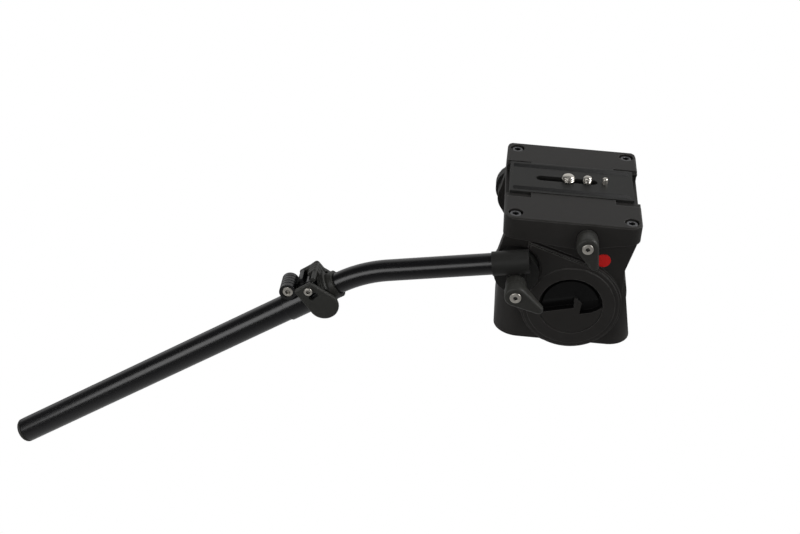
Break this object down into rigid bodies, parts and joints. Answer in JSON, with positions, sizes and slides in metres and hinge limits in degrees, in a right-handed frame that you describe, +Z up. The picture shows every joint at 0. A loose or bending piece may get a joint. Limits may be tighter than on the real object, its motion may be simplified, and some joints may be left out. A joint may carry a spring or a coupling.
{
  "type": "fluid video head",
  "caption": "Fluid video head for a tripod, with a tilting frame, a sliding camera plate, lock levers and a bent telescopic pan bar.",
  "frame": {"origin": "centre of the base's bottom face, at the mouth of the tripod thread", "axes": "+Z up along the pan axis, +X forward, -Y towards the side with the drag dial, plate lock and pan bar"},
  "size_m": [0.4627, 0.1723, 0.2364],
  "materials": {
    "grey_paint": "cast, with dark grey fine-textured paint",
    "black_metal": "black anodised, satin",
    "black_plastic": "moulded, satin",
    "tube_black": "gloss black",
    "nickel": "nickel plated",
    "steel": "turned",
    "black_steel": "black oxide",
    "cast_alloy": "dark anodised",
    "brass": "turned",
    "rubber": "matt",
    "red_plastic": "gloss",
    "vial": "clear with tinted fluid"
  },
  "bodies": {
    "base": {"base_plate": "black_metal", "thread_insert": "steel", "pan_spindle": "steel", "base_screws": "steel", "pan_washer": "brass", "spindle_nut": "steel", "base_collar": "black_metal"},
    "pan_body": {"pan_housing": "grey_paint", "housing_floor": "black_metal", "floor_screws": "steel", "pan_bush": "brass", "tilt_bushes": "brass", "drag_drum": "steel", "drag_cap": "steel", "balance_spring": "steel", "level_vial": "vial", "level_rim": "nickel"},
    "pan_lock": {"pan_lock_knob": "black_plastic", "pan_lock_bolt": "steel"},
    "tilt_frame": {"tilt_axle": "steel", "drag_rotor": "brass", "top_block": "grey_paint", "near_cheek": "grey_paint", "far_cheek": "grey_paint", "corner_screws": "black_steel", "near_rosette": "cast_alloy", "far_rosette": "cast_alloy", "cheek_disc": "red_plastic", "far_cover": "black_metal"},
    "plate_lock": {"plate_lock_lever": "black_plastic", "plate_lock_screw": "nickel", "plate_lock_bolt": "steel"},
    "jaw": {"plate_jaw": "steel"},
    "plate": {"camera_plate": "black_metal", "plate_pads": "rubber", "pin_plug": "black_metal", "pin_spring": "steel"},
    "large_camera_screw": {"large_screw": "nickel"},
    "small_camera_screw": {"small_screw": "nickel"},
    "twist_pin": {"video_pin": "nickel"},
    "dial": {"tilt_dial": "black_plastic"},
    "tilt_lock": {"tilt_lock_lever": "black_plastic", "tilt_lock_screw": "nickel", "tilt_lock_bolt": "steel"},
    "bar": {"bar_clamp": "black_metal", "pan_bar": "tube_black", "bar_washer": "nickel"},
    "rosette_lock": {"bar_lever": "black_plastic", "bar_lever_screw": "nickel", "rosette_bolt": "steel"},
    "grip": {"clamp_collar": "black_metal", "grip_tube": "tube_black", "grip_cap": "black_plastic", "pinch_screw": "nickel", "lever_pin": "nickel", "wiper_bush": "black_plastic"},
    "flip_lever": {"clamp_lever": "black_plastic"}
  },
  "joints": [
    {"name": "pan", "type": "hinge", "parent": "base", "child": "pan_body", "pos_m": [0, 0, 0.03], "axis": [0, 0, 1], "continuous": true},
    {"name": "pan_lock_turn", "type": "hinge", "parent": "pan_body", "child": "pan_lock", "pos_m": [0, 0.0423, 0.0075], "axis": [0, 1, 0], "range_deg": [-270, 0]},
    {"name": "tilt", "type": "hinge", "parent": "pan_body", "child": "tilt_frame", "pos_m": [0, 0, 0.053], "axis": [0, 1, 0], "range_deg": [-60, 90]},
    {"name": "plate_lock_turn", "type": "hinge", "parent": "tilt_frame", "child": "plate_lock", "pos_m": [0.005, -0.0573, 0.111], "axis": [0, 1, 0], "range_deg": [0, 90]},
    {"name": "jaw_slide", "type": "slide", "parent": "tilt_frame", "child": "jaw", "axis": [0, 1, 0], "range_m": [-0.0012, 0]},
    {"name": "plate_slide", "type": "slide", "parent": "tilt_frame", "child": "plate", "axis": [1, 0, 0], "range_m": [-0.035, 0.035]},
    {"name": "large_screw_turn", "type": "hinge", "parent": "plate", "child": "large_camera_screw", "pos_m": [-0.009, 0.0035, 0.118], "axis": [0, 0, 1], "continuous": true},
    {"name": "small_screw_turn", "type": "hinge", "parent": "plate", "child": "small_camera_screw", "pos_m": [0.005, 0.0035, 0.118], "axis": [0, 0, 1], "continuous": true},
    {"name": "twist_pin_press", "type": "slide", "parent": "plate", "child": "twist_pin", "axis": [0, 0, 1], "range_m": [-0.003, 0], "stiffness_N_per_m": 300, "springref_m": 0.001, "deforming": ["pin_spring"]},
    {"name": "dial_turn", "type": "hinge", "parent": "tilt_frame", "child": "dial", "pos_m": [0, -0.051, 0.053], "axis": [0, 1, 0], "range_deg": [-140, 140]},
    {"name": "tilt_lock_turn", "type": "hinge", "parent": "tilt_frame", "child": "tilt_lock", "pos_m": [0, 0.0583, 0.053], "axis": [0, 1, 0], "range_deg": [0, 90]},
    {"name": "bar_angle", "type": "hinge", "parent": "tilt_frame", "child": "bar", "pos_m": [-0.042, -0.0583, 0.081], "axis": [0, 1, 0], "range_deg": [-70, 70]},
    {"name": "bar_lever_turn", "type": "hinge", "parent": "bar", "child": "rosette_lock", "pos_m": [-0.042, -0.077, 0.081], "axis": [0, 1, 0], "range_deg": [0, 120]},
    {"name": "grip_extend", "type": "slide", "parent": "bar", "child": "grip", "axis": [-0.8261, 0, -0.5635], "range_m": [0, 0.18]},
    {"name": "flip_lever_open", "type": "hinge", "parent": "grip", "child": "flip_lever", "pos_m": [-0.18745, -0.07, 0.06326], "axis": [0, 1, 0], "range_deg": [-50, 0]}
  ],
  "couplings": [
    {"joint": "plate_lock_turn", "follows": "jaw_slide", "rad_per_m": -1309}
  ]
}
